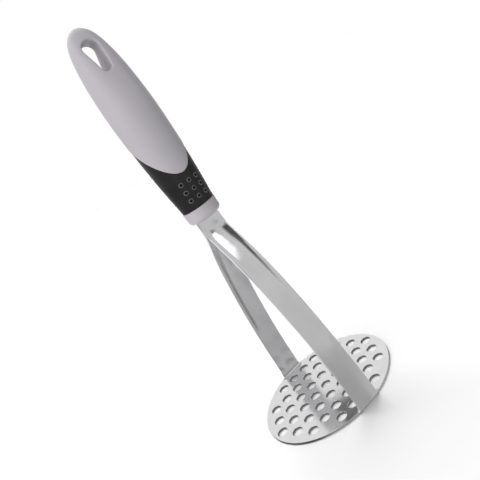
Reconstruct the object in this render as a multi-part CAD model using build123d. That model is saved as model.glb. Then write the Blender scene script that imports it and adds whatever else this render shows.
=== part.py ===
from build123d import *
import os
from math import cos, radians, sin

# Potato masher: a perforated oval plate on two formed legs, in a soft-grip handle.
# Frame: +Z up the handle, +X from the rear leg to the front leg, +Y across the legs.
# Origin: centre of the plate's underside, the face that rests on a table.

# ---- steel head, mm ----
SHEET = 1.5               # stainless sheet of plate and legs
PLATE_LENGTH = 85.0       # oval plate, along Y
PLATE_WIDTH = 76.0        # oval plate, along X
RIM_ROUND = 0.4           # rounding of the plate's upper and lower rim
HOLE_DIAMETER = 6.3
HOLE_PITCH = 9.4          # hole to hole along a row, along Y
ROW_PITCH = 9.75          # row to row, along X
HOLES_IN_ROWS = (4, 7, 8, 9, 8, 7, 4)

LEG_WIDTH = 13.7
FOOT_FLARE = 2.0          # the foot is this much wider than the leg on each side
FOOT_FLARE_TOP = 2.4      # height where the flare's rounding starts
FOOT_START = 34.0         # where plate ends and foot begins, along X
FOOT_BEND_END = 35.85     # where the foot starts to turn up, along X
FOOT_BEND_RADIUS = 1.45   # radii and angles below are of the sheet's middle surface
FOOT_TURN = 94.5
LEG_RADIUS = 280.0        # the leg's long bow
LEG_TURN = 18.0
SHOULDER_RADIUS = 99.0    # the tighter bow under the neck
SHOULDER_TURN = 10.5
NECK_RADIUS = 15.5        # the bend back to straight up
TANG_TOP = 186.0          # height of the tang's upper end
TANG_CORNER = 2.0

CHANNEL_RADIUS = 13.0     # section of the stamped channel on the leg's outer face
CHANNEL_DEPTH = 0.75      # at its upper end; it runs out towards the foot
CHANNEL_TOP = 107.0
CHANNEL_MIDDLE = 66.0
CHANNEL_FOOT = 20.0

# ---- handle, mm ----
# outer skin: height, half width along Y, half thickness along X
HANDLE_STATIONS = (
    (118.0, 9.45, 8.85),
    (131.0, 9.85, 9.2),
    (144.0, 11.0, 10.2),
    (158.0, 12.0, 11.1),
    (172.0, 12.6, 11.7),
    (186.0, 12.85, 11.7),
    (200.0, 12.4, 10.7),
    (210.0, 11.6, 9.2),
    (218.0, 10.4, 7.4),
    (225.0, 8.6, 5.4),
    (229.5, 6.4, 3.9),
    (232.2, 3.6, 2.4),
    (233.0, 1.6, 1.1),
)
COLLAR_BOTTOM = 123.6
COLLAR_TOP = 131.0
COLLAR_ROUND = 2.2
GRIP_WALL = 2.2           # rubber and body skin over the core
CORE_TOP = 202.0
SPIGOT_DEPTH = 3.5        # the core's lower end sits this deep in the collar
SPIGOT_WALL = 2.6         # collar wall round it
TANG_CLEARANCE = 0.1
# joint between grip and body, side view: front, middle and rear points of one arc (X, Z)
JOINT_FRONT = (12.8, 143.6)
JOINT_MIDDLE = (3.0, 164.2)
JOINT_REAR = (-13.2, 184.2)

DIMPLE_DIAMETER = 2.4
DIMPLE_DEPTH = 0.8
DIMPLE_PITCH_Y = 4.8
DIMPLE_PITCH_Z = 4.65
DIMPLE_CENTRE = 140.5
DIMPLES_EACH_WAY = 3

HANG_TOP_RADIUS = 4.1     # hanging hole: two round ends joined by tangents
HANG_TOP_CENTRE = 221.0
HANG_BOTTOM_RADIUS = 2.5
HANG_BOTTOM_CENTRE = 210.2
HANG_ROUND = 0.9          # rounding of its mouth

PIN_DIAMETER = 4.0
PIN_LENGTH = 16.0
PIN_HEIGHTS = {"lower_tang_pin": 148.0, "upper_tang_pin": 174.0}

REACH = 60.0              # larger than the object's half size, for cutting tools


def slab(bottom, top):
    """A block that keeps everything between two heights."""
    return Pos(0, 0, (bottom + top) / 2) * Box(2 * REACH, 2 * REACH, top - bottom)


def mashing_plate():
    plate = extrude(Ellipse(PLATE_WIDTH / 2, PLATE_LENGTH / 2), SHEET)
    plate = fillet(plate.edges(), RIM_ROUND)
    middle_row = len(HOLES_IN_ROWS) // 2
    holes = []
    for row, count in enumerate(HOLES_IN_ROWS):
        x = (row - middle_row) * ROW_PITCH
        for column in range(count):
            y = (column - (count - 1) / 2) * HOLE_PITCH
            holes.append(Pos(x, y, SHEET / 2) * Cylinder(HOLE_DIAMETER / 2, 2 * SHEET))
    plate -= holes
    foot_width = LEG_WIDTH + 2 * FOOT_FLARE
    for side in (-1, 1):
        notch_centre = side * (FOOT_START + REACH / 2)
        plate -= Pos(notch_centre, 0, SHEET / 2) * Box(REACH, foot_width, 2 * SHEET)
    return plate


def leg_path():
    """Middle surface of the front leg in side view, from the plate to the tang's top."""
    foot = Line((FOOT_START, SHEET / 2), (FOOT_BEND_END, SHEET / 2))
    bend = JernArc(foot @ 1, foot % 1, FOOT_BEND_RADIUS, FOOT_TURN)
    bow = JernArc(bend @ 1, bend % 1, LEG_RADIUS, LEG_TURN)
    shoulder = JernArc(bow @ 1, bow % 1, SHOULDER_RADIUS, SHOULDER_TURN)
    lean = FOOT_TURN + LEG_TURN + SHOULDER_TURN - 90
    neck_step = NECK_RADIUS * (1 - cos(radians(lean)))
    run = ((shoulder @ 1).X - SHEET / 2 - neck_step) / sin(radians(lean))
    slope = Line(shoulder @ 1, (shoulder @ 1) + (shoulder % 1) * run)
    neck = JernArc(slope @ 1, slope % 1, NECK_RADIUS, -lean)
    tang = Line(neck @ 1, (SHEET / 2, TANG_TOP))
    return Plane.XZ * Wire([foot, bend, bow, shoulder, slope, neck, tang])


def channel_point(height, depth):
    """Centre of the channel's round section beside the leg's long bow at this height."""
    centre_x = FOOT_BEND_END
    centre_x += FOOT_BEND_RADIUS * sin(radians(FOOT_TURN))
    centre_x -= LEG_RADIUS * sin(radians(FOOT_TURN))
    centre_z = SHEET / 2 + FOOT_BEND_RADIUS * (1 - cos(radians(FOOT_TURN)))
    centre_z += LEG_RADIUS * cos(radians(FOOT_TURN))
    outward = LEG_RADIUS + SHEET / 2 + CHANNEL_RADIUS - depth
    x = centre_x + (outward ** 2 - (height - centre_z) ** 2) ** 0.5
    return (x, 0, height)


def channel():
    """Cutting tool for the shallow channel: a round bar that leans out of the leg downwards."""
    top = channel_point(CHANNEL_TOP, CHANNEL_DEPTH)
    middle = channel_point(CHANNEL_MIDDLE, CHANNEL_DEPTH * 0.6)
    foot = channel_point(CHANNEL_FOOT, 0)
    spine = ThreePointArc(foot, middle, top)
    section = Plane(origin=spine @ 0, z_dir=spine % 0) * Circle(CHANNEL_RADIUS)
    return sweep(section, path=spine)


def front_leg():
    path = leg_path()
    foot_width = LEG_WIDTH + 2 * FOOT_FLARE
    section = Plane(origin=path @ 0, x_dir=(0, 1, 0), z_dir=path % 0) * Rectangle(foot_width, SHEET)
    strip = sweep(section, path=path)
    outline = Pos(0, TANG_TOP / 2) * Rectangle(LEG_WIDTH, TANG_TOP)
    outline = fillet(outline.vertices().group_by(Axis.Y)[-1], TANG_CORNER)
    outline += Pos(0, FOOT_FLARE_TOP / 2) * Rectangle(foot_width, FOOT_FLARE_TOP)
    inner_corners = outline.vertices().filter_by(
        lambda v: abs(abs(v.X) - LEG_WIDTH / 2) < 0.01 and abs(v.Y - FOOT_FLARE_TOP) < 0.01
    )
    outline = fillet(inner_corners, FOOT_FLARE - 0.05)
    silhouette = extrude(Plane.YZ * outline, REACH)
    leg = (strip & silhouette) - channel()
    for height in PIN_HEIGHTS.values():
        leg -= pin_bore(height)
    return leg


def pin_bore(height):
    return Pos(0, 0, height) * Rot(0, 90, 0) * Cylinder(PIN_DIAMETER / 2, PIN_LENGTH)


def handle_skin(inset=0.0):
    """The handle's outer form, or the same form drawn in by an inset."""
    stations = [s for s in HANDLE_STATIONS if min(s[1], s[2]) - inset > 1.0]
    sections = [Pos(0, 0, z) * Ellipse(a - inset, b - inset) for z, b, a in stations]
    return loft(sections)


def above_joint():
    """Everything above the curved joint between the grip and the body."""
    arc = ThreePointArc(JOINT_FRONT, JOINT_MIDDLE, JOINT_REAR)
    top = HANDLE_STATIONS[-1][0] + REACH
    edges = [
        arc,
        Line(JOINT_REAR, (-REACH, JOINT_REAR[1])),
        Line((-REACH, JOINT_REAR[1]), (-REACH, top)),
        Line((-REACH, top), (REACH, top)),
        Line((REACH, top), (REACH, JOINT_FRONT[1])),
        Line((REACH, JOINT_FRONT[1]), JOINT_FRONT),
    ]
    return extrude(Plane.XZ * make_face(edges), REACH, both=True)


def core_form():
    """Outer form of the core above the collar."""
    return handle_skin(GRIP_WALL) & slab(COLLAR_TOP, CORE_TOP)


def spigot(clearance=0.0):
    height = SPIGOT_DEPTH + clearance
    z = COLLAR_TOP - height
    half_width = HANDLE_STATIONS[1][1] - SPIGOT_WALL + clearance
    half_thickness = HANDLE_STATIONS[1][2] - SPIGOT_WALL + clearance
    return Pos(0, 0, z) * extrude(Ellipse(half_thickness, half_width), height)


def tang_slot(bottom, top):
    thickness = 2 * (SHEET + TANG_CLEARANCE)
    width = LEG_WIDTH + 2 * TANG_CLEARANCE
    return Pos(0, 0, (bottom + top) / 2) * Box(thickness, width, top - bottom)


def handle_core():
    core = core_form() + spigot()
    core -= tang_slot(COLLAR_BOTTOM, TANG_TOP + 1)
    for height in PIN_HEIGHTS.values():
        core -= pin_bore(height)
    return core


def tang_pin(height):
    pin = pin_bore(height)
    return chamfer(pin.edges().filter_by(GeomType.CIRCLE), 0.3)


def end_collar():
    collar = handle_skin() & slab(COLLAR_BOTTOM, COLLAR_TOP)
    collar = fillet(collar.edges().group_by(Axis.Z)[0], COLLAR_ROUND)
    collar -= spigot(TANG_CLEARANCE)
    return collar - tang_slot(COLLAR_BOTTOM - 1, COLLAR_TOP + 1)


def dimples():
    """Round dimples in the thumb face of the grip."""
    ball_radius = (DIMPLE_DIAMETER ** 2 / 4 + DIMPLE_DEPTH ** 2) / (2 * DIMPLE_DEPTH)
    grip_face = HANDLE_STATIONS[2]
    half = (DIMPLES_EACH_WAY - 1) / 2
    tools = []
    for column in range(DIMPLES_EACH_WAY):
        for row in range(DIMPLES_EACH_WAY):
            y = (column - half) * DIMPLE_PITCH_Y
            z = DIMPLE_CENTRE + (row - half) * DIMPLE_PITCH_Z
            lean = (grip_face[2] - HANDLE_STATIONS[1][2]) / (grip_face[0] - COLLAR_TOP)
            half_thickness = grip_face[2] + (z - grip_face[0]) * lean
            x = half_thickness * (1 - (y / grip_face[1]) ** 2) ** 0.5
            tools.append(Pos(x + ball_radius - DIMPLE_DEPTH, y, z) * Sphere(ball_radius))
    return tools


def grip_sleeve():
    sleeve = handle_skin() & slab(COLLAR_TOP, CORE_TOP)
    sleeve -= above_joint()
    sleeve -= handle_skin(GRIP_WALL)
    return sleeve - dimples()


def hanging_hole():
    top = Pos(0, HANG_TOP_CENTRE) * Circle(HANG_TOP_RADIUS)
    bottom = Pos(0, HANG_BOTTOM_CENTRE) * Circle(HANG_BOTTOM_RADIUS)
    outline = make_hull((top + bottom).edges())
    return extrude(Plane.YZ * outline, REACH, both=True)


def handle_body():
    body = handle_skin() & above_joint()
    body -= core_form()
    body -= hanging_hole()
    mouth = body.edges().filter_by(
        lambda e: e.center().Z > CORE_TOP + 2 and abs(e.center().X) > 2 and abs(e.center().Y) < 5
    )
    return fillet(mouth, HANG_ROUND)


def write(name, shape):
    shape.label = name
    export_step(shape, f"parts/{name}.step")


os.makedirs("parts", exist_ok=True)
leg = front_leg()
write("mashing_plate", mashing_plate())
write("front_leg", leg)
write("rear_leg", Rot(0, 0, 180) * leg)
write("handle_core", handle_core())
for pin_name, pin_height in PIN_HEIGHTS.items():
    write(pin_name, tang_pin(pin_height))
write("end_collar", end_collar())
write("grip_sleeve", grip_sleeve())
write("handle_body", handle_body())
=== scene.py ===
from math import cos, pi, radians, sin

import bpy
import numpy as np
from mathutils import Matrix, Vector
from mathutils.geometry import delaunay_2d_cdt

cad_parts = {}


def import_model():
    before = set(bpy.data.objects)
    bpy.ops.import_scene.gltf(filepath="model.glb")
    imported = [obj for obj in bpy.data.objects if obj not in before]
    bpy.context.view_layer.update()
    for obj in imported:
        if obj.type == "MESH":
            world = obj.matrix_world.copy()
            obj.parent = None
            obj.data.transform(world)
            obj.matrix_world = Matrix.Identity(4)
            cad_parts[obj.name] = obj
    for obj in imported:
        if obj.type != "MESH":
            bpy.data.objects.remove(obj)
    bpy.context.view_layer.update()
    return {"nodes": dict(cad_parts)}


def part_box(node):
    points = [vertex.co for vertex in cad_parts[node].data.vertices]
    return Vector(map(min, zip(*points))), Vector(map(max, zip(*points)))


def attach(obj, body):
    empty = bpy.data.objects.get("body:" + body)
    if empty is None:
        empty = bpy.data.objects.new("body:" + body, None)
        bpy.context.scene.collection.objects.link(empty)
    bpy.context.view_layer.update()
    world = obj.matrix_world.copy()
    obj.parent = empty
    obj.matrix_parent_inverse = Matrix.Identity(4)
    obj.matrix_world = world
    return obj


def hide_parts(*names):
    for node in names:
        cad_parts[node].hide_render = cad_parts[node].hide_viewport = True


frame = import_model()

MM = 0.001  # the shapes below are worked out in millimetres

# ---------------------------------------------------------------- sizes, most of them from the frame
plate_low, plate_high = (np.array(corner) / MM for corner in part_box("mashing_plate"))
leg_high = np.array(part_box("front_leg")[1]) / MM
collar_low, collar_high = (np.array(corner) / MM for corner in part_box("end_collar"))
body_high = np.array(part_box("handle_body")[1]) / MM

SHEET = plate_high[2] - plate_low[2]
PLATE_HALF_LENGTH = plate_high[1]
PLATE_HALF_WIDTH = leg_high[0] - 0.05  # the oval stays this far behind the foot bends
RIM_ROUND = 0.16
FOOT_START = 34.0
HOLE_RADIUS = 3.15
HOLE_ROUND = 0.2
HOLE_PITCH = 9.4
ROW_PITCH = 9.75
HOLES_IN_ROWS = (4, 7, 8, 9, 8, 7, 4)

LEG_HALF_WIDTH = 6.85
LEG_EDGE_ROUND = 0.35
NOTCH_HALF_WIDTH = LEG_HALF_WIDTH + 0.02
TANG_TOP = leg_high[2]
FOOT_RUN = 1.85  # flat strip between the plate and the foot bend
FOOT_BEND = (1.45, 94.5)  # radius, and turn in degrees, of the sheet's middle surface
LONG_BOW = (280.0, 18.0)
SHOULDER = (99.0, 10.5)
NECK = (15.5, 33.0)
FLARE = 1.8  # the foot is this much wider on each side
FLARE_TOP = 3.1

# handle skin: height, half width along Y, half thickness along X
SKIN = np.array([
    (118.0, 9.45, 8.85),
    (131.0, 9.85, 9.2),
    (144.0, 11.0, 10.2),
    (158.0, 12.0, 11.1),
    (172.0, 12.6, 11.7),
    (186.0, 12.85, 11.7),
    (200.0, 12.4, 10.7),
    (210.0, 11.6, 9.2),
    (218.0, 10.4, 7.4),
    (225.0, 8.6, 5.4),
    (229.5, 6.2, 3.9),
])
SKIN_TOP = body_high[2] - 0.1
COLLAR_BOTTOM = collar_low[2]
COLLAR_TOP = collar_high[2]
CORE_TOP = 202.0
WALL = 2.2  # skin over the core
FIELD_LIMIT = 20  # distances further off than this don't matter
JOINT_FRONT = (12.8, 143.6)
JOINT_MIDDLE = (3.0, 164.2)
JOINT_REAR = (-13.2, 184.2)
JOINT_GAP = 0.06  # half the fine groove between body and grip
BODY_SEAM_ROUND = 0.45
GRIP_SEAM_ROUND = 0.3
GRIP_RECESS = 0.25  # the rubber lies this far under the skin
COLLAR_GAP = 0.04
COLLAR_ROUND = 2.2
COLLAR_TOP_ROUND = 0.35
SLOT_CLEARANCE = 0.1
SLOT_ROUND = 0.3

HANG_TOP = (221.0, 4.1)  # height and radius of the hanging hole's two round ends
HANG_BOTTOM = (210.2, 2.5)
HANG_ROUND = 1.3

DIMPLE_PITCH = (4.8, 4.65)
DIMPLE_CENTRE = 140.5
DIMPLE_RADIUS = 1.4  # outer edge of the raised rim
DIMPLE_RIM_RADIUS = 0.92  # crest of the rim
DIMPLE_RIM_HEIGHT = 0.36
DIMPLE_PIT_RADIUS = 0.72
DIMPLE_DEPTH = 0.6
DIMPLE_HIGHLIGHT_OUTSIDE = (0.1, 0.25)  # the rim's painted highlight, a pale tint, starts and is full this far inside its edge
DIMPLE_HIGHLIGHT_INSIDE = 0.2  # and fades out this far inside its crest
THUMB_FACE_FADE = 0.002  # metres along X

# stamped channel in each leg's outer face
CHANNEL_HALF_WIDTH = 5.35
CHANNEL_MIDDLE = 0.7
CHANNEL_END_START = 111.5
CHANNEL_END_LENGTH = 8.0
CHANNEL_END_POWER = 2.2
CHANNEL_EDGE_SOFTNESS = 0.1
BOWL_DEPTHS = np.array([  # height, depth of the round trough
    (78, 0.0),
    (84, 0.04),
    (92, 0.1),
    (97, 0.22),
    (101, 0.5),
    (105, 0.92),
    (109, 1.15),
    (121, 1.15),
])
WALL_DEPTHS = np.array([(36, 0.0), (48, 0.34), (97, 0.36), (106, 0.0)])
WALL_START = -5.4
WALL_TOP = 3.1
WALL_SPAN = 2.6


# ---------------------------------------------------------------- mesh helpers
def mesh_object(name, points, faces):
    """A mesh object in the scene, from points in metres."""
    mesh = bpy.data.meshes.new(name)
    mesh.from_pydata(points, [], faces)
    piece = bpy.data.objects.new(name, mesh)
    bpy.context.scene.collection.objects.link(piece)
    return piece


def smooth_object(name, vertices, faces, normals=None):
    """A smooth-shaded mesh object from millimetre points, with exact normals if given."""
    points = (np.asarray(vertices) * MM).tolist()
    piece = mesh_object(name, points, [list(map(int, f)) for f in faces])
    mesh = piece.data
    mesh.validate()
    mesh.shade_smooth()
    if normals is None:
        normals = area_normals(mesh)
    mesh.normals_split_custom_set_from_vertices(np.asarray(normals).tolist())
    return piece


def area_normals(mesh):
    """Vertex normals weighted by face area, so broad faces stay flat beside small roundings."""
    total = np.zeros((len(mesh.vertices), 3))
    for polygon in mesh.polygons:
        total[list(polygon.vertices)] += np.array(polygon.normal) * polygon.area
    length = np.linalg.norm(total, axis=1, keepdims=True)
    return total / np.maximum(length, 1e-20)


def ease(share):
    """Rises softly from 0 to 1 as the share does, and stays there beyond."""
    share = np.clip(share, 0, 1)
    return share * share * (3 - 2 * share)


def round_max(a, b, radius):
    """Intersection of two solids given by distances, with its edge rounded to a radius."""
    corner = np.hypot(np.maximum(a + radius, 0), np.maximum(b + radius, 0))
    return np.minimum(np.maximum(a, b), -radius) + corner


def gradient(field, points, step=0.01):
    """Slope of a field at points, by central differences."""
    slopes = []
    for axis in range(3):
        shift = np.zeros(3)
        shift[axis] = step
        slopes.append((field(points + shift) - field(points - shift)) / (2 * step))
    return np.stack(slopes, -1)


def surface_of(name, field, low, high, step, rounds=4):
    """Mesh of a field's zero surface: one vertex per crossed cell, moved onto the surface."""
    axes = [np.arange(a, b + step, step) for a, b in zip(low, high)]
    grid = np.stack(np.meshgrid(*axes, indexing="ij"), -1)
    value = field(grid)
    cells = np.array(value.shape) - 1
    total = np.zeros((cells.prod(), 3))
    count = np.zeros(cells.prod())
    quads = []
    for axis in range(3):
        near = np.take(value, range(value.shape[axis] - 1), axis)
        far = np.take(value, range(1, value.shape[axis]), axis)
        start = np.argwhere((near < 0) != (far < 0))
        others = [a for a in range(3) if a != axis]
        keep = np.all((start[:, others] > 0) & (start[:, others] < cells[others]), axis=1)
        start = start[keep]
        index = tuple(start.T)
        share = near[index] / (near[index] - far[index])
        point = grid[index].copy()
        point[:, axis] += share * step
        ring = []
        for along, across in ((0, 0), (1, 0), (1, 1), (0, 1)):
            cell = start.copy()
            cell[:, others[0]] -= along
            cell[:, others[1]] -= across
            flat = np.ravel_multi_index(tuple(cell.T), cells)
            np.add.at(total, flat, point)
            np.add.at(count, flat, 1)
            ring.append(flat)
        ring = np.stack(ring, 1)
        leaves = near[index] < 0
        if axis == 1:
            leaves = ~leaves
        ring[~leaves] = ring[~leaves][:, ::-1]
        quads.append(ring)
    used = np.flatnonzero(count)
    number = np.zeros(cells.prod(), int)
    number[used] = np.arange(len(used))
    points = total[used] / count[used, None]
    for _ in range(rounds):
        slope = gradient(field, points)
        steepness = np.maximum((slope ** 2).sum(-1, keepdims=True), 1e-6)
        move = field(points)[:, None] * slope / steepness
        points -= np.clip(move, -step / 2, step / 2)
    normals = gradient(field, points)
    normals /= np.linalg.norm(normals, axis=1, keepdims=True)
    return smooth_object(name, points, number[np.concatenate(quads)], normals)


# ---------------------------------------------------------------- handle fields, in millimetres
def natural_spline(x, y):
    """Slopes at the knots of the smooth cubic through (x, y) with free ends."""
    n = len(x)
    h = np.diff(x)
    rise = np.diff(y) / h
    matrix = np.zeros((n, n))
    target = np.zeros(n)
    matrix[0, :2] = (2, 1)
    matrix[-1, -2:] = (1, 2)
    target[0] = 3 * rise[0]
    target[-1] = 3 * rise[-1]
    for i in range(1, n - 1):
        matrix[i, i - 1:i + 2] = (1 / h[i - 1], 2 / h[i - 1] + 2 / h[i], 1 / h[i])
        target[i] = 3 * (rise[i - 1] / h[i - 1] + rise[i] / h[i])
    return np.linalg.solve(matrix, target)


def along_spline(x, y, slopes, at):
    """Value and slope of the cubic at any height."""
    i = np.clip(np.searchsorted(x, at) - 1, 0, len(x) - 2)
    h = (x[1:] - x[:-1])[i]
    t = (at - x[i]) / h
    a, b, da, db = y[i], y[i + 1], slopes[i] * h, slopes[i + 1] * h
    value = a + t * (da + t * (3 * (b - a) - 2 * da - db + t * (2 * (a - b) + da + db)))
    slope = (da + t * (2 * (3 * (b - a) - 2 * da - db) + 3 * t * (2 * (a - b) + da + db))) / h
    return value, slope


heights = np.append(SKIN[:, 0], SKIN_TOP)
width_squared = np.append(SKIN[:, 1] ** 2, 0.0)
aspect = np.append((SKIN[:, 1] / SKIN[:, 2]) ** 2, (SKIN[-1, 1] / SKIN[-1, 2]) ** 2)
width_slopes = natural_spline(heights, width_squared)
aspect_slopes = natural_spline(heights, aspect)


def skin(points):
    """Distance from the handle's outer skin, an ellipse at every height."""
    x, y, z = points[..., 0], points[..., 1], points[..., 2]
    reach, reach_slope = along_spline(heights, width_squared, width_slopes, z)
    ratio, ratio_slope = along_spline(heights, aspect, aspect_slopes, z)
    value = x * x * ratio + y * y - reach
    steepness = np.sqrt((2 * x * ratio) ** 2 + 4 * y * y + (x * x * ratio_slope - reach_slope) ** 2)
    return np.clip(value / np.maximum(steepness, 1.0), -FIELD_LIMIT, FIELD_LIMIT)


def circle_through(a, b, c):
    """Centre and radius of the circle through three points."""
    a, b, c = map(np.array, (a, b, c))
    system = 2 * np.array([b - a, c - a])
    centre = np.linalg.solve(system, [b @ b - a @ a, c @ c - a @ a])
    return centre, np.linalg.norm(a - centre)


joint_centre, joint_radius = circle_through(JOINT_FRONT, JOINT_MIDDLE, JOINT_REAR)


def above_joint(points):
    """Height over the curved joint between grip and body: positive on the body's side."""
    x, z = points[..., 0], points[..., 2]
    return np.hypot(x - joint_centre[0], z - joint_centre[1]) - joint_radius


def hanging_hole(points):
    """Distance from the drop-shaped hole's wall, negative in the hole."""
    y, z = np.abs(points[..., 1]), points[..., 2] - HANG_BOTTOM[0]
    height = HANG_TOP[0] - HANG_BOTTOM[0]
    low, high = HANG_BOTTOM[1], HANG_TOP[1]
    lean = (low - high) / height
    upright = (1 - lean * lean) ** 0.5
    along = -lean * y + upright * z
    below = np.hypot(y, z) - low
    above = np.hypot(y, z - height) - high
    side = upright * y + lean * z - low
    return np.where(along < 0, below, np.where(along > upright * height, above, side))


def core_space(points):
    """The room that the handle's core takes inside grip and body."""
    return np.maximum(skin(points) + WALL, points[..., 2] - CORE_TOP)


def body_field(points):
    solid = round_max(skin(points), JOINT_GAP - above_joint(points), BODY_SEAM_ROUND)
    solid = round_max(solid, -hanging_hole(points), HANG_ROUND)
    return np.maximum(solid, -core_space(points))


def dimple_dents(points):
    """How far the grip's thumb face is pushed in: three rows of small pits with raised rims."""
    y, z = points[..., 1], points[..., 2] - DIMPLE_CENTRE
    y = y - DIMPLE_PITCH[0] * np.clip(np.round(y / DIMPLE_PITCH[0]), -1, 1)
    z = z - DIMPLE_PITCH[1] * np.clip(np.round(z / DIMPLE_PITCH[1]), -1, 1)
    reach = np.hypot(y, z)
    rim = ease(1 - abs(reach - DIMPLE_RIM_RADIUS) / (DIMPLE_RADIUS - DIMPLE_RIM_RADIUS))
    pit = ease(1 - reach / DIMPLE_PIT_RADIUS)
    dent = DIMPLE_DEPTH * pit - DIMPLE_RIM_HEIGHT * rim
    return np.where(points[..., 0] > 0, dent, 0.0)


def grip_field(points):
    outside = skin(points) + GRIP_RECESS + dimple_dents(points)
    solid = round_max(outside, above_joint(points) + JOINT_GAP, GRIP_SEAM_ROUND)
    solid = round_max(solid, COLLAR_TOP + JOINT_GAP - points[..., 2], GRIP_SEAM_ROUND)
    return np.maximum(solid, -core_space(points))


def collar_field(points):
    z = points[..., 2]
    solid = round_max(skin(points), COLLAR_BOTTOM - z, COLLAR_ROUND)
    solid = round_max(solid, z - COLLAR_TOP + COLLAR_GAP, COLLAR_TOP_ROUND)
    slot = np.maximum(
        np.abs(points[..., 0]) - SHEET - SLOT_CLEARANCE,
        np.abs(points[..., 1]) - LEG_HALF_WIDTH - SLOT_CLEARANCE,
    )
    return round_max(solid, -slot, SLOT_ROUND)


# ---------------------------------------------------------------- steel sheet shapes
def leg_path(spacing=0.9):
    """Middle line of the front leg in side view: X, Z and heading in degrees."""
    turns = (
        ("line", FOOT_RUN, 0),
        ("arc", *FOOT_BEND),
        ("arc", *LONG_BOW),
        ("arc", *SHOULDER),
        ("line", None, 0),
        ("arc", NECK[0], -NECK[1]),
        ("line", None, 0),
    )
    place = np.array([FOOT_START, SHEET / 2])
    heading = 0.0
    rows = [(*place, heading)]
    for kind, size, turn in turns:
        start, start_heading = place, heading
        if kind == "line":
            lean = radians(heading)
            still_leans = heading > 90.01
            if size is None and still_leans:
                step_out = NECK[0] * (1 - cos(lean - pi / 2))
                size = (place[0] - SHEET / 2 - step_out) / -cos(lean)
            elif size is None:
                size = TANG_TOP - place[1]
            length = size
        else:
            length = size * radians(abs(turn))
        count = max(int(length / spacing), 10 if kind == "arc" else 2)
        for i in range(1, count + 1):
            share = i / count
            if kind == "line":
                place = start + share * size * np.array([cos(lean), sin(lean)])
            else:
                side = 1 if turn > 0 else -1
                first = radians(start_heading - 90 * side)
                last = first + radians(turn * share)
                place = start + size * np.array([cos(last) - cos(first), sin(last) - sin(first)])
                heading = start_heading + turn * share
            rows.append((*place, heading))
    return np.array(rows)


def channel_depth(y, z):
    """Stamped channel: a round trough at the neck that runs out downwards beside one low wall."""
    aside = (y - CHANNEL_MIDDLE) / CHANNEL_HALF_WIDTH
    beyond = np.maximum(z - CHANNEL_END_START, 0) / CHANNEL_END_LENGTH
    bowl = 1 - aside ** 2 - beyond ** CHANNEL_END_POWER
    bowl = 0.5 * (bowl + np.sqrt(bowl * bowl + CHANNEL_EDGE_SOFTNESS ** 2))
    slope = np.clip((y - WALL_START) / (WALL_TOP - WALL_START), 0, 1)
    slope = slope * (1 - ease((y - WALL_TOP) / WALL_SPAN))
    bowl_depth = np.interp(z, BOWL_DEPTHS[:, 0], BOWL_DEPTHS[:, 1])
    wall_depth = np.interp(z, WALL_DEPTHS[:, 0], WALL_DEPTHS[:, 1])
    return bowl_depth * bowl + wall_depth * slope


def strip_section(half_width, columns=57, corner_steps=13):
    """The leg strip's section as (across, outward) points, with rounded edges."""
    edge = LEG_EDGE_ROUND
    half = SHEET / 2
    across = np.linspace(-1, 1, columns)
    outer = [(y * (half_width - edge), half) for y in across]
    bend = []
    for angle in np.radians(np.linspace(90, -90, corner_steps)):
        rise = (half - edge) * np.sign(sin(angle)) + edge * sin(angle)
        bend.append((half_width - edge + edge * cos(angle), rise))
    inner = [(y * (half_width - edge), -half) for y in across[::-1]]
    back = [(-y, -out) for y, out in bend]
    return np.array(outer + bend[1:-1] + inner + back[1:-1])


def leg_mesh(name, side):
    """One leg as a bent strip with rounded edges; side is 1 for the front leg, -1 for the rear."""
    rings = []
    for x, z, heading in leg_path():
        normal = (sin(radians(heading)), -cos(radians(heading)))
        flare = 0.0
        stands_up = heading > 45
        if stands_up and z < FLARE_TOP:
            drop = min(FLARE_TOP - z, FLARE)
            flare = FLARE - (FLARE ** 2 - drop ** 2) ** 0.5
        ring = strip_section(LEG_HALF_WIDTH + flare)
        shift = ring[:, 1] - channel_depth(ring[:, 0], z)
        places = (side * (x + normal[0] * shift), side * ring[:, 0], z + normal[1] * shift)
        rings.append(np.stack(places, 1))
    rings = np.array(rings)
    rows, columns = rings.shape[:2]
    number = np.arange(rows * columns).reshape(rows, columns)
    faces = []
    for i in range(rows - 1):
        for j in range(columns):
            k = (j + 1) % columns
            faces.append((number[i, j], number[i, k], number[i + 1, k], number[i + 1, j]))
    faces.append(tuple(number[-1]))
    faces.append(tuple(number[0][::-1]))
    return smooth_object(name, rings.reshape(-1, 3), faces)


def plate_outline(inset, count=240):
    """Oval with a notch for each foot, drawn in by an inset, anticlockwise."""
    notch = NOTCH_HALF_WIDTH
    points = []
    for side in (1, -1):
        start = np.arcsin(notch / PLATE_HALF_LENGTH)
        for angle in np.linspace(start, pi - start, count // 2):
            rim = np.array([PLATE_HALF_WIDTH * cos(angle), PLATE_HALF_LENGTH * sin(angle)]) * side
            slope = np.array([rim[0] / PLATE_HALF_WIDTH ** 2, rim[1] / PLATE_HALF_LENGTH ** 2])
            points.append(rim - inset * slope / np.linalg.norm(slope))
        points.append(np.array([-FOOT_START, notch]) * side)
        points.append(np.array([-FOOT_START, -notch]) * side)
    return np.array(points)


def hole_centres():
    middle = len(HOLES_IN_ROWS) // 2
    for row, count in enumerate(HOLES_IN_ROWS):
        for column in range(count):
            yield (row - middle) * ROW_PITCH, (column - (count - 1) / 2) * HOLE_PITCH


def hole_ring(x, y, radius, count=40):
    angles = np.linspace(0, 2 * pi, count, endpoint=False)
    return np.stack([x + radius * np.cos(angles), y - radius * np.sin(angles)], 1)


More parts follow.
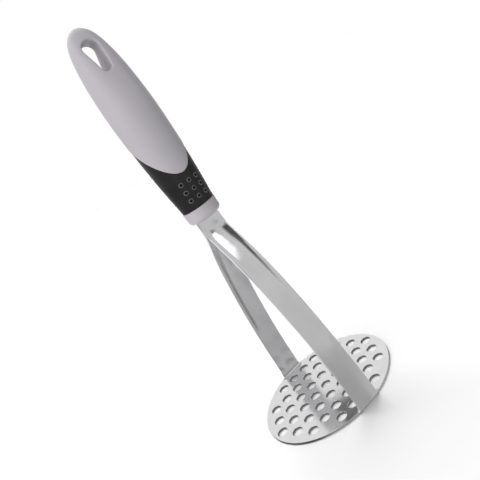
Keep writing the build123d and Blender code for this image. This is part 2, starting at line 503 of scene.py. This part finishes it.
def on_plate(point):
    x, y = point
    if (x / PLATE_HALF_WIDTH) ** 2 + (y / PLATE_HALF_LENGTH) ** 2 > 1:
        return False
    if abs(x) > FOOT_START and abs(y) < NOTCH_HALF_WIDTH:
        return False
    return all((x - a) ** 2 + (y - b) ** 2 > HOLE_RADIUS ** 2 for a, b in hole_centres())


def wall_levels(rounding, outline, steps=6):
    """Outlines down one wall of the plate, from its top face to its underside."""
    turns = np.radians(np.linspace(0, 90, steps))
    levels = [(rounding * (1 - sin(a)), SHEET - rounding * (1 - cos(a)), cos(a)) for a in turns]
    levels += [(inset, SHEET - z, -up) for inset, z, up in levels[::-1]]
    return [(outline(inset), z, up) for inset, z, up in levels]


def plate_mesh():
    """Plate with rounded rim and hole edges: flat faces joined by strips down every wall.

    The faces of the rim's wall come first, then those of the holes' walls; both counts are given.
    """
    walls = [wall_levels(RIM_ROUND, plate_outline)]
    for x, y in hole_centres():
        walls.append(wall_levels(HOLE_ROUND, lambda inset: hole_ring(x, y, HOLE_RADIUS + inset)))
    vertices, normals, faces = [], [], []
    rim_count = 0
    tops, bottoms = [], []
    for levels in walls:
        first = len(vertices)
        count = len(levels[0][0])
        middle = levels[len(levels) // 2][0]
        ahead = np.roll(middle, -1, 0) - np.roll(middle, 1, 0)
        outward = np.stack([ahead[:, 1], -ahead[:, 0]], 1)
        outward /= np.linalg.norm(outward, axis=1, keepdims=True)
        for ring, z, up in levels:
            flat = (1 - up * up) ** 0.5
            vertices += [(x, y, z) for x, y in ring]
            normals += [(flat * ox, flat * oy, up) for ox, oy in outward]
        for level in range(len(levels) - 1):
            a = first + level * count
            for i in range(count):
                j = (i + 1) % count
                faces.append((a + i, a + count + i, a + count + j, a + j))
        tops.append(range(first, first + count))
        bottoms.append(range(len(vertices) - count, len(vertices)))
        if not rim_count:
            rim_count = len(faces)
    wall_count = len(faces)
    for rings, flip in ((tops, False), (bottoms, True)):
        faces += flat_face(vertices, rings, flip)
    piece = smooth_object("plate_of_the_masher", vertices, faces, normals)
    return piece, rim_count, wall_count


def flat_face(vertices, rings, flip):
    """Triangles between the plate's outline and its holes."""
    used = [i for ring in rings for i in ring]
    local = {v: i for i, v in enumerate(used)}
    edges = []
    for ring in rings:
        following = list(ring[1:]) + [ring[0]]
        edges += [(local[a], local[b]) for a, b in zip(ring, following)]
    flat_points = [Vector(vertices[i][:2]) for i in used]
    _, _, triangles, sources, _, _ = delaunay_2d_cdt(flat_points, edges, [], 0, 1e-9)
    faces = []
    for triangle in triangles:
        corners = [used[sources[i][0]] for i in triangle]
        if on_plate(np.mean([vertices[i][:2] for i in corners], axis=0)):
            faces.append(tuple(corners[::-1]) if flip else tuple(corners))
    return faces


# ---------------------------------------------------------------- material helpers
NOISE_LOW = 0.3  # nearly all of a noise's values lie between these two
NOISE_HIGH = 0.7


def new_material(name, color, metallic=0.0, roughness=0.5, **inputs):
    material = bpy.data.materials.new(name)
    material.use_nodes = True
    shader = material.node_tree.nodes["Principled BSDF"]
    shader.inputs["Base Color"].default_value = (*color, 1)
    shader.inputs["Metallic"].default_value = metallic
    shader.inputs["Roughness"].default_value = roughness
    for label, value in inputs.items():
        shader.inputs[label.replace("_", " ")].default_value = value
    return material, material.node_tree, shader


def noise(tree, scale, detail=4.0, roughness=0.5):
    """Noise in object space; scale is a number or one number per axis, in waves per metre."""
    place = tree.nodes.new("ShaderNodeTexCoord")
    mapping = tree.nodes.new("ShaderNodeMapping")
    if np.isscalar(scale):
        scale = (scale,) * 3
    mapping.inputs["Scale"].default_value = scale
    texture = tree.nodes.new("ShaderNodeTexNoise")
    texture.inputs["Scale"].default_value = 1.0
    texture.inputs["Detail"].default_value = detail
    texture.inputs["Roughness"].default_value = roughness
    texture.inputs["Distortion"].default_value = 0.0
    tree.links.new(place.outputs["Object"], mapping.inputs["Vector"])
    tree.links.new(mapping.outputs["Vector"], texture.inputs["Vector"])
    return texture.outputs["Fac"]


def vary_roughness(tree, shader, value, low, high):
    node = tree.nodes.new("ShaderNodeMapRange")
    node.inputs["From Min"].default_value = NOISE_LOW
    node.inputs["From Max"].default_value = NOISE_HIGH
    node.inputs["To Min"].default_value = low
    node.inputs["To Max"].default_value = high
    tree.links.new(value, node.inputs["Value"])
    tree.links.new(node.outputs["Result"], shader.inputs["Roughness"])


def blend_colors(tree, value, low, high):
    ramp = tree.nodes.new("ShaderNodeValToRGB")
    ramp.color_ramp.elements[0].position = NOISE_LOW
    ramp.color_ramp.elements[1].position = NOISE_HIGH
    ramp.color_ramp.elements[0].color = (*low, 1)
    ramp.color_ramp.elements[1].color = (*high, 1)
    tree.links.new(value, ramp.inputs["Fac"])
    return ramp.outputs["Color"]


def vary_color(tree, shader, value, low, high):
    tree.links.new(blend_colors(tree, value, low, high), shader.inputs["Base Color"])


def bump(tree, shader, height, depth_mm):
    node = tree.nodes.new("ShaderNodeBump")
    node.inputs["Strength"].default_value = 1.0
    node.inputs["Distance"].default_value = depth_mm * MM
    tree.links.new(height, node.inputs["Height"])
    tree.links.new(node.outputs["Normal"], shader.inputs["Normal"])


def math_node(tree, operation, *values):
    """One Math node; each value is a number or another node's output."""
    node = tree.nodes.new("ShaderNodeMath")
    node.operation = operation
    for socket, value in zip(node.inputs, values):
        if isinstance(value, (int, float)):
            socket.default_value = value
        else:
            tree.links.new(value, socket)
    return node.outputs[0]


def subtract(tree, value, less):
    return math_node(tree, "SUBTRACT", value, less)


def multiply(tree, value, times):
    return math_node(tree, "MULTIPLY", value, times)


def length_of(tree, x, y):
    squares = math_node(tree, "ADD", multiply(tree, x, x), multiply(tree, y, y))
    return math_node(tree, "POWER", squares, 0.5)


def toward(tree, value, target, share):
    """The value moved by a share of the way to the target."""
    return math_node(tree, "ADD", value, multiply(tree, subtract(tree, target, value), share))


def smooth_step(tree, value, start, end):
    """Rises softly from 0 to 1 as the value goes from start to end."""
    node = tree.nodes.new("ShaderNodeMapRange")
    node.interpolation_type = "SMOOTHSTEP"
    node.inputs["From Min"].default_value = start
    node.inputs["From Max"].default_value = end
    tree.links.new(value, node.inputs["Value"])
    return node.outputs["Result"]


def coordinates(tree, kind):
    """X, Y and Z of a place in object space, or of a direction in the world."""
    split = tree.nodes.new("ShaderNodeSeparateXYZ")
    tree.links.new(tree.nodes.new("ShaderNodeTexCoord").outputs[kind], split.inputs["Vector"])
    return split.outputs["X"], split.outputs["Y"], split.outputs["Z"]


# ---------------------------------------------------------------- materials
def polished_steel():
    """Plate: buffed nearly to a mirror, with fine random scratches and faint cloudiness."""
    material, tree, shader = new_material("polished_steel", (0.72, 0.72, 0.73), 1.0, 0.16)
    cloud = noise(tree, 90, 3.0)
    vary_roughness(tree, shader, cloud, 0.13, 0.2)
    vary_color(tree, shader, cloud, (0.7, 0.7, 0.71), (0.76, 0.76, 0.765))
    bump(tree, shader, noise(tree, 1800, 2.0), 0.0015)
    return material


def satin_steel():
    """Legs: satin strip with a fine grain that runs up the leg."""
    material, tree, shader = new_material("satin_steel", (0.6, 0.6, 0.61), 1.0, 0.2)
    grain = noise(tree, (4200, 4200, 90), 3.0, 0.6)
    vary_roughness(tree, shader, grain, 0.19, 0.25)
    vary_color(tree, shader, noise(tree, 70, 3.0), (0.58, 0.58, 0.59), (0.63, 0.63, 0.635))
    bump(tree, shader, grain, 0.0012)
    return material


def sheared_steel(name, low, high):
    """Cut edges of the plate: duller metal with marks across the sheet; on the hole walls the darker
    colours also hold painted shade.
    """
    material, tree, shader = new_material(name, high, 1.0, 0.32)
    marks = noise(tree, (2600, 2600, 300), 3.0, 0.6)
    vary_roughness(tree, shader, marks, 0.25, 0.42)
    vary_color(tree, shader, marks, low, high)
    bump(tree, shader, marks, 0.004)
    return material


def soft_touch(name, low, high):
    """Matte soft-touch plastic: very fine spark-eroded grain and slight tone drift."""
    material, tree, shader = new_material(name, high, 0.0, 0.46)
    vary_color(tree, shader, noise(tree, 45, 2.0), low, high)
    grain = noise(tree, 3400, 2.0, 0.6)
    vary_roughness(tree, shader, grain, 0.42, 0.52)
    bump(tree, shader, grain, 0.008)
    return material


def grip_rubber():
    """Black moulded rubber: coarse matte grain with a dull sheen, and a pale highlight painted on the
    dimples' rims.
    """
    black = (0.014, 0.014, 0.0146)
    material, tree, shader = new_material("grip_rubber", black, 0.0, 0.3, Specular_IOR_Level=0.24)
    grain = noise(tree, 2600, 3.0, 0.65)
    vary_roughness(tree, shader, grain, 0.2, 0.3)
    drift = noise(tree, 160, 3.0)
    rubber = blend_colors(tree, drift, (0.01, 0.01, 0.0105), (0.014, 0.014, 0.0147))
    # painted highlight: the dimples' rims are tinted pale grey where they would catch the light
    painted_highlight = tree.nodes.new("ShaderNodeMix")
    painted_highlight.data_type = "RGBA"
    color_a, color_b, color_result = 6, 7, 2  # sockets of a Mix node for colours
    tree.links.new(dimple_rim_highlight(tree), painted_highlight.inputs["Factor"])
    tree.links.new(rubber, painted_highlight.inputs[color_a])
    painted_highlight.inputs[color_b].default_value = (0.1, 0.1, 0.103, 1)
    tree.links.new(painted_highlight.outputs[color_result], shader.inputs["Base Color"])
    bump(tree, shader, grain, 0.02)
    return material


def dimple_rim_highlight(tree):
    """Mask of the dimples' raised rims, where a pale highlight is painted on the rubber."""
    x, y, z = coordinates(tree, "Object")
    offsets = []
    for value, middle, pitch in (
        (y, 0.0, DIMPLE_PITCH[0] * MM),
        (z, DIMPLE_CENTRE * MM, DIMPLE_PITCH[1] * MM),
    ):
        away = math_node(tree, "DIVIDE", subtract(tree, value, middle), pitch)
        nearest = math_node(tree, "MINIMUM", math_node(tree, "ROUND", away), 1.0)
        nearest = math_node(tree, "MAXIMUM", nearest, -1.0)
        offsets.append(multiply(tree, subtract(tree, away, nearest), pitch / MM))
    reach = length_of(tree, *offsets)
    outer = smooth_step(tree, reach, *(DIMPLE_RADIUS - inset for inset in DIMPLE_HIGHLIGHT_OUTSIDE))
    inner = smooth_step(tree, reach, DIMPLE_RIM_RADIUS - DIMPLE_HIGHLIGHT_INSIDE, DIMPLE_RIM_RADIUS)
    thumb_face = smooth_step(tree, x, 0.0, THUMB_FACE_FADE)
    return multiply(tree, multiply(tree, outer, inner), thumb_face)


def core_plastic():
    """Plain moulded plastic with faint flow marks along the handle."""
    material, tree, shader = new_material("core_plastic", (0.3, 0.3, 0.31), 0.0, 0.55)
    flow = noise(tree, (500, 500, 60), 3.0)
    vary_color(tree, shader, flow, (0.26, 0.26, 0.27), (0.33, 0.33, 0.34))
    bump(tree, shader, flow, 0.01)
    return material


def pin_steel():
    """Turned pins: fine rings round the pin's own axis, X."""
    material, tree, shader = new_material("pin_steel", (0.55, 0.55, 0.56), 1.0, 0.3)
    rings = noise(tree, (3000, 40, 40), 2.0)
    vary_roughness(tree, shader, rings, 0.22, 0.4)
    bump(tree, shader, rings, 0.003)
    return material


# ---------------------------------------------------------------- the pieces
BODY_GRID = 0.36  # cell sizes of the handle's meshes
GRIP_GRID = 0.28
COLLAR_GRID = 0.3
BODY_BOTTOM = 141  # heights just beyond each piece
GRIP_TOP = 188
COLLAR_REACH = 11.5
HANDLE_MARGIN = 1.5
WALL_LEAN = 0.35  # a face whose normal is flatter than this belongs to a wall


def fit(piece, node, slot, *materials):
    for material in materials:
        piece.data.materials.append(material)
    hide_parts(node)
    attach(piece, "root")


def room(half, bottom, top):
    """Lowest and highest corners of the space that a handle piece is looked for in."""
    return (-half, -half, bottom), (half, half, top)


satin = satin_steel()
rim_steel = sheared_steel("rim_steel", (0.42, 0.42, 0.43), (0.56, 0.56, 0.57))
# the hole walls are much darker than the rim: partly duller punched metal, partly painted shade inside
# the holes
hole_wall_steel_and_shade = sheared_steel("hole_wall_steel_and_shade", (0.14, 0.14, 0.143), (0.26, 0.26, 0.264))
grey = soft_touch("soft_touch_grey", (0.393, 0.374, 0.402), (0.415, 0.395, 0.424))
# the collar's grey is the body's grey made a little lighter: painted light that offsets the shade the
# collar gets
collar_grey_lightened = soft_touch("collar_grey_lightened", (0.41, 0.388, 0.416), (0.43, 0.407, 0.436))

plate, rim_count, wall_count = plate_mesh()
fit(plate, "mashing_plate", "plate_steel", polished_steel(), rim_steel, hole_wall_steel_and_shade)
for polygon in plate.data.polygons[:wall_count]:
    if abs(polygon.normal.z) < WALL_LEAN:
        polygon.material_index = 1 if polygon.index < rim_count else 2

fit(leg_mesh("front_leg_strip", 1), "front_leg", "leg_steel", satin)
fit(leg_mesh("rear_leg_strip", -1), "rear_leg", "leg_steel", satin)

skin_reach = body_high[1] + HANDLE_MARGIN
body_room = room(skin_reach, BODY_BOTTOM, SKIN_TOP + 2)
body = surface_of("handle_grey_body", body_field, *body_room, BODY_GRID)
fit(body, "handle_body", "handle_plastic", grey)

grip_room = room(skin_reach, COLLAR_TOP - 1, GRIP_TOP)
grip = surface_of("grip_black_sleeve", grip_field, *grip_room, GRIP_GRID)
fit(grip, "grip_sleeve", "grip_rubber", grip_rubber())

collar_room = room(COLLAR_REACH, COLLAR_BOTTOM - 1, COLLAR_TOP + 1)
collar = surface_of("collar_ring", collar_field, *collar_room, COLLAR_GRID)
fit(collar, "end_collar", "collar_plastic", collar_grey_lightened)

for node, material in (
    ("handle_core", core_plastic()),
    ("lower_tang_pin", pin_steel()),
    ("upper_tang_pin", pin_steel()),
):
    hidden = frame["nodes"][node]
    hidden.data.materials.clear()
    hidden.data.materials.append(material)


# ---------------------------------------------------------------- stage, light, camera
BACKDROP = 1.0
FLOOR_BRIGHTNESS = 1.03
FLOOR_RADIUS = 6.0

# the sky's brightness by elevation in degrees
SKY = ((-90, 0.6), (-8, 0.62), (2, 0.76), (14, 0.84), (30, 0.84), (60, 0.95), (90, 0.95))
# panels round the object: centre, half size and edge softness as (azimuth, elevation), then brightness
PANELS = (
    ((-82, 30), (50, 36), (18, 10), 1.75),
    ((-45, -45), (62, 40), (20, 6), 1.15),
    ((72, 10), (32, 50), (12, 10), 0.15),
    ((137, -4), (25, 22), (8, 8), 1.2),
)
# soft key light from behind: it shapes the shadows and stays out of the reflections
KEY = ((165, 64), (40, 16), 11.0)
KEY_EDGE = (0.5, 0.5)
KEY_DISTANCE = 80.0
# cards that only the gloss sees: direction as (azimuth, elevation), half sizes, brightness, distance
CARDS = (
    ("bright_card", (61, 37), (18, 24), 1.9, 1.2),
    ("black_card", (-19, 44.5), (19, 24.5), 0.02, 1.2),
    ("left_card", (-96, 28), (54, 40), 0.8, 1.2),
    ("edge_card", (-63, 38), (12, 12), 3.2, 1.1),
    ("back_card", (160, 38), (34, 20), 0.95, 1.2),
)
CARD_STEPS = 9
CARD_MIDDLE = 0.1  # height of the point that the cards stand round

# small black card behind the plate: the spot that mirrors it, direction, distance, half sizes
FLAG_SPOT = (0.031, -0.0085)
FLAG_DIRECTION = (159, 36.6)
FLAG_DISTANCE = 0.11
FLAG_HALF_WIDTH = 0.011
FLAG_HALF_HEIGHT = 0.0105
FLAG_BRIGHTNESS = 0.03

# the table that the steel mirrors: azimuths in degrees, distances in metres, and brightnesses;
# a pair says where a change starts and ends, measured in plate outlines where it says so
TABLE_HEIGHT = -0.002
FRONT_AZIMUTH = 5
FRONT_EDGE = (38, 60)
# painted shadow of the object on the table: darker near the front, under the plate and close beside its
# rim
FRONT_SHADE_NEAR = 0.53
FRONT_FAR = 0.83
FRONT_FADE = (0.15, 0.7)
FOOT_LINE_THROUGH = (0.04, 0.0035)  # a brighter field starts at this line beside the front foot
FOOT_LINE_TURN = radians(22.8)
FOOT_LINE_BLUR = 0.001
FOOT_LINE_STEP = 0.18
SHADE_UNDER_PLATE = 0.6
UNDER_PLATE_EDGE = (1.02, 0.92)  # plate outlines
SIDE_SHADE_NEAR_RIM = 0.05
SIDE_BRIGHT = 1.5
SIDE_BRIGHT_START = (1.2, 1.45)  # plate outlines
SIDE_BRIGHT_END = (0.2, 0.32)
SIDE_FAR = 0.45
REAR_STRIP = 1.6  # narrow bright strip that goes on behind the object
REAR_STRIP_EDGE = (154, 160)
REAR_STRIP_END = (0.75, 0.5)


def disc(name, height, count=96):
    angles = np.linspace(0, 2 * pi, count, endpoint=False)
    rim = [(FLOOR_RADIUS * cos(a), FLOOR_RADIUS * sin(a), height) for a in angles]
    return mesh_object(name, rim, [range(count)])


def floor_light():
    """Light that reaches the open floor from sky, panels and key, for a white floor of 1.0."""
    azimuth, elevation = np.meshgrid(np.arange(-180, 180, 2.0), np.arange(0.5, 90, 1.0))
    light = np.interp(elevation, *zip(*SKY))
    for centre, half, soft, brightness in PANELS + ((KEY[0], KEY[1], KEY_EDGE, KEY[2]),):
        mask = 1.0
        for angle, middle, reach, blur in zip((azimuth, elevation), centre, half, soft):
            away = abs((angle - middle + 180) % 360 - 180)
            mask = mask * ease((reach + blur - away) / (2 * blur))
        light = light + mask * (brightness - light)
    weight = np.cos(np.radians(elevation)) * np.sin(np.radians(elevation))
    return (light * weight).sum() / weight.sum()


def floor_piece():
    """White sweep under the object: it shows the shadows, and stays out of the reflections."""
    piece = disc("floor", 0.0)
    albedo = FLOOR_BRIGHTNESS / floor_light()
    material, tree, shader = new_material("pale_floor", (albedo,) * 3, 0.0, 0.9, Specular_IOR_Level=0.0)
    low, high = ((albedo * tone,) * 3 for tone in (0.995, 1.005))
    vary_color(tree, shader, noise(tree, 6, 2.0), low, high)
    piece.data.materials.append(material)
    piece.visible_glossy = False
    piece.visible_diffuse = False


def only_in_gloss(piece):
    piece.visible_camera = False
    piece.visible_diffuse = False
    piece.visible_shadow = False
    piece.visible_transmission = False


def glowing(name, brightness):
    """Material that only glows, with its node tree and its glow node."""
    material = bpy.data.materials.new(name)
    material.use_nodes = True
    tree = material.node_tree
    tree.nodes.remove(tree.nodes["Principled BSDF"])
    glow = tree.nodes.new("ShaderNodeEmission")
    glow.inputs["Strength"].default_value = brightness
    tree.links.new(glow.outputs["Emission"], tree.nodes["Material Output"].inputs["Surface"])
    return material, tree, glow


def beside_foot_line(tree, x, y):
    """Distance past the line beside the front foot, where the mirrored table gets brighter."""
    across = multiply(tree, subtract(tree, y, FOOT_LINE_THROUGH[1]), cos(FOOT_LINE_TURN))
    along = multiply(tree, subtract(tree, x, FOOT_LINE_THROUGH[0]), sin(FOOT_LINE_TURN))
    return subtract(tree, across, along)


def table_card():
    """What the steel reflects from below: a grey table top with painted shadow under the plate, beside
    its rim and in front of it, lit at the sides.
    """
    piece = disc("table_card", TABLE_HEIGHT)
    material, tree, glow = glowing("table_card", 1.0)
    x, y, _ = coordinates(tree, "Object")
    reach = length_of(tree, x, y)
    azimuth = math_node(tree, "ARCTAN2", y, x)
    off_front = math_node(tree, "ABSOLUTE", subtract(tree, azimuth, radians(FRONT_AZIMUTH)))
    outlines = length_of(
        tree,
        math_node(tree, "DIVIDE", x, PLATE_HALF_WIDTH * MM),
        math_node(tree, "DIVIDE", y, PLATE_HALF_LENGTH * MM),
    )

    past_line = smooth_step(tree, beside_foot_line(tree, x, y), -FOOT_LINE_BLUR, FOOT_LINE_BLUR)
    front = math_node(tree, "ADD", FRONT_SHADE_NEAR, multiply(tree, past_line, FOOT_LINE_STEP))
    front = toward(tree, front, FRONT_FAR, smooth_step(tree, reach, *FRONT_FADE))

    strip = smooth_step(tree, off_front, *map(radians, REAR_STRIP_EDGE))
    strip = multiply(tree, strip, smooth_step(tree, reach, *REAR_STRIP_END))
    side_far = toward(tree, SIDE_FAR, REAR_STRIP, strip)
    beside = toward(tree, SIDE_SHADE_NEAR_RIM, SIDE_BRIGHT, smooth_step(tree, outlines, *SIDE_BRIGHT_START))
    beside = toward(tree, beside, side_far, smooth_step(tree, reach, *SIDE_BRIGHT_END))

    light = toward(tree, front, beside, smooth_step(tree, off_front, *map(radians, FRONT_EDGE)))
    light = toward(tree, light, SHADE_UNDER_PLATE, smooth_step(tree, outlines, *UNDER_PLATE_EDGE))
    tree.links.new(light, glow.inputs["Strength"])
    piece.data.materials.append(material)
    only_in_gloss(piece)


def direction(azimuth, elevation):
    """Unit direction from angles in degrees."""
    around, up = radians(azimuth), radians(elevation)
    return cos(up) * cos(around), cos(up) * sin(around), sin(up)


def curved_card(name, centre, half, brightness, distance):
    """Glowing card on a sphere round the object."""
    points = []
    for rise in np.linspace(-half[1], half[1], CARD_STEPS):
        for turn in np.linspace(-half[0], half[0], CARD_STEPS):
            points.append(direction(centre[0] + turn, centre[1] + rise))
    points = np.array(points) * distance + np.array([0, 0, CARD_MIDDLE])
    faces = []
    for i in range(CARD_STEPS - 1):
        for j in range(CARD_STEPS - 1):
            first = i * CARD_STEPS + j
            faces.append((first, first + 1, first + CARD_STEPS + 1, first + CARD_STEPS))
    piece = mesh_object(name, points.tolist(), faces)
    piece.data.materials.append(glowing(name, brightness)[0])
    return piece


def flag():
    """Small black card close behind the plate: the dark patch in the plate's mirror image."""
    ahead = Vector(direction(*FLAG_DIRECTION))
    sideways = ahead.cross(Vector((0, 0, 1))).normalized()
    upward = sideways.cross(ahead)
    centre = Vector((*FLAG_SPOT, SHEET * MM)) + ahead * FLAG_DISTANCE
    corners = []
    for a, b in ((-1, -1), (1, -1), (1, 1), (-1, 1)):
        corner = centre + sideways * a * FLAG_HALF_WIDTH + upward * b * FLAG_HALF_HEIGHT
        corners.append(tuple(corner))
    piece = mesh_object("flag", corners, [(0, 1, 2, 3)])
    piece.data.materials.append(glowing("flag", FLAG_BRIGHTNESS)[0])
    only_in_gloss(piece)


def key_light():
    """Bright card far off that lights matt surfaces and casts the shadows."""
    piece = curved_card("key_light", *KEY, KEY_DISTANCE)
    piece.visible_camera = False
    piece.visible_glossy = False
    piece.visible_shadow = False


def panel(tree, azimuth, elevation, centre, half, soft):
    """Mask of a soft-edged studio panel, by its direction and half sizes in degrees."""
    masks = []
    for angle, middle, reach, blur in zip((azimuth, elevation), centre, half, soft):
        away = subtract(tree, angle, radians(middle))
        away = math_node(tree, "WRAP", away, pi, -pi)
        away = math_node(tree, "ABSOLUTE", away)
        masks.append(smooth_step(tree, away, radians(reach + blur), radians(reach - blur)))
    return multiply(tree, *masks)


def world():
    """Grey studio with light and dark panels round the object; the backdrop itself is white."""
    surround = bpy.data.worlds.new("studio")
    surround.use_nodes = True
    bpy.context.scene.world = surround
    tree = surround.node_tree
    background = tree.nodes["Background"]
    background.inputs["Color"].default_value = (1, 1, 1, 1)
    x, y, z = coordinates(tree, "Generated")
    azimuth = math_node(tree, "ARCTAN2", y, x)
    elevation = math_node(tree, "ARCSINE", z)
    light = SKY[0][1]
    for (low, dim), (high, bright) in zip(SKY, SKY[1:]):
        share = math_node(tree, "DIVIDE", subtract(tree, elevation, radians(low)), radians(high - low))
        share.node.use_clamp = True
        light = math_node(tree, "ADD", light, multiply(tree, share, bright - dim))
    for centre, half, soft, brightness in PANELS:
        light = toward(tree, light, brightness, panel(tree, azimuth, elevation, centre, half, soft))
    seen = tree.nodes.new("ShaderNodeLightPath").outputs["Is Camera Ray"]
    tree.links.new(toward(tree, light, BACKDROP, seen), background.inputs["Strength"])


def camera():
    place = Vector((0.2378, -0.0876, 0.1655))
    aim = Vector((0.0, 0.0079, 0.1018))
    roll = radians(-35.1)
    forward = (aim - place).normalized()
    level = forward.cross(Vector((0, 0, 1))).normalized()
    upright = level.cross(forward)
    right = cos(roll) * level + sin(roll) * upright
    up = right.cross(forward)
    turned = Matrix((right, up, -forward)).transposed().to_4x4()
    data = bpy.data.cameras.new("camera")
    data.sensor_width = 36.0
    data.lens = 36.46
    data.clip_start = 0.01
    piece = bpy.data.objects.new("camera", data)
    piece.matrix_world = Matrix.Translation(place) @ turned
    bpy.context.scene.collection.objects.link(piece)
    bpy.context.scene.camera = piece


floor_piece()
table_card()
for card in CARDS:
    only_in_gloss(curved_card(*card))
flag()
key_light()
world()
camera()
bpy.context.scene.view_settings.view_transform = "Standard"
